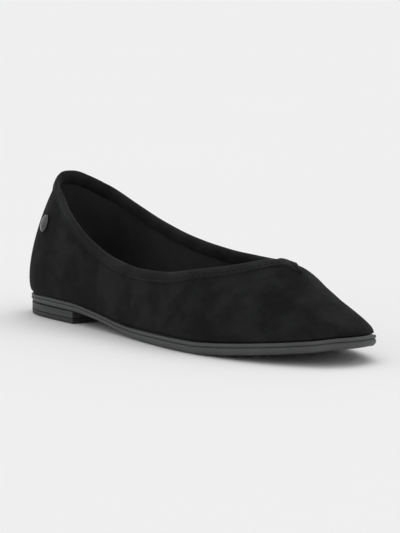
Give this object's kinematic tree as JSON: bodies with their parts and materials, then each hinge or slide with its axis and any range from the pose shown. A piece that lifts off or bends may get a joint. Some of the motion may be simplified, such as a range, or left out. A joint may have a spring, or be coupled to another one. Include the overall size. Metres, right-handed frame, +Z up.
{
  "type": "ballet flat",
  "caption": "Low-heeled ballet flat for the right foot: suede upper with a raised band round a V throat, on a thin rubber sole with a low heel.",
  "frame": {"origin": "on the floor, under the middle of the shoe's bounding box", "axes": "+X from the heel to the toe, -Y to the outer side of the right foot, +Z up"},
  "size_m": [0.2508, 0.0786, 0.0772],
  "materials": {
    "suede": "matte black suede nap",
    "sole_rubber": "satin dark grey moulded rubber",
    "insole_leather": "smooth matte black leather",
    "stud_metal": "satin silver metal"
  },
  "bodies": {
    "root": {"outsole": "sole_rubber", "heel_block": "sole_rubber", "heel_top_piece": "sole_rubber", "upper": "suede", "topline_binding": "suede", "insole": "insole_leather", "heel_stud": "stud_metal"}
  },
  "joints": []
}
